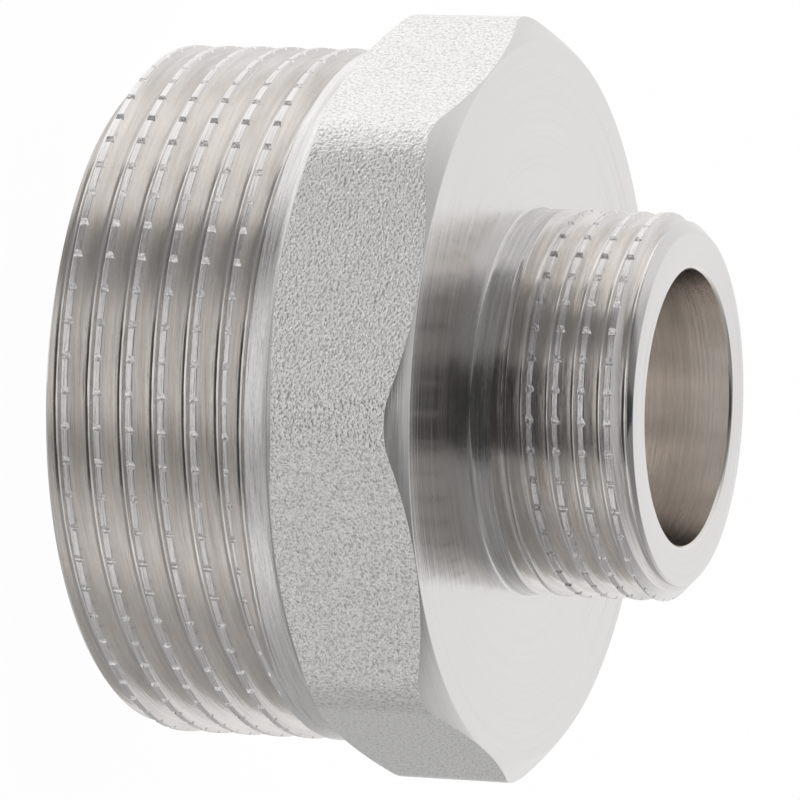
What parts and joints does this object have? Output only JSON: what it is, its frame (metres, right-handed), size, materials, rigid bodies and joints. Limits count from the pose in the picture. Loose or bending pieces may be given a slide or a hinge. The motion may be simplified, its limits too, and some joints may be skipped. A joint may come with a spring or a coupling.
{
  "type": "reducing nipple",
  "caption": "Pipe fitting with a large and a small male parallel pipe thread either side of an octagonal spanner collar, bored through.",
  "frame": {"origin": "centre of the large end face, on which the nipple stands", "axes": "+Z along the bore axis, from the large thread to the small one; +X and +Y square to two of the octagon's flats"},
  "size_m": [0.0496, 0.0496, 0.0377],
  "materials": {
    "nickel_plate": "nickel plated: bright turned threads, neck, collar and face, blasted grain on the forged flats"
  },
  "bodies": {
    "root": {"nipple_body": "nickel_plate"}
  },
  "joints": []
}
